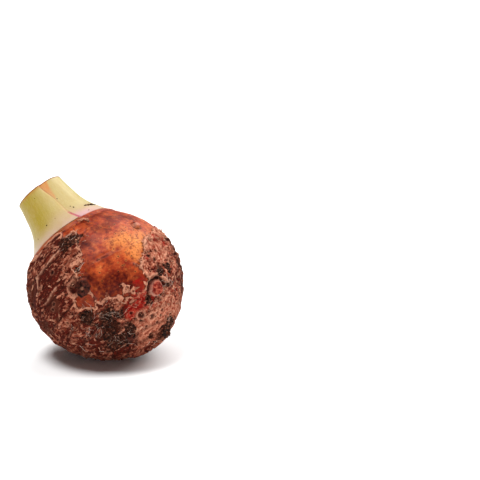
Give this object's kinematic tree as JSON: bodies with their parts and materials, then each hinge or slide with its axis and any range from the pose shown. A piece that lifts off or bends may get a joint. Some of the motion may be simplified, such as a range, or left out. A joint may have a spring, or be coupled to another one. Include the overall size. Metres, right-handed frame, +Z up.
{
  "type": "taro root",
  "caption": "Small round taro cormel with ringed papery bark, partly rubbed bare, lying on its flank with the cut-off base of its leaf shoot pointing up and to the side.",
  "frame": {"origin": "centre of the small flat spot that the tuber rests on", "axes": "+Z up; +Y away from the side that the picture shows; +X to that side's right. The shoot's axis leans 46 degrees from +Z, towards -X and +Y"},
  "size_m": [0.0547, 0.0531, 0.058],
  "materials": {
    "bark": "matte",
    "sheath": "satin",
    "stalk": "satin"
  },
  "bodies": {
    "root": {"corm": "bark", "outer_sheath": "sheath", "inner_stalk": "stalk"}
  },
  "joints": []
}
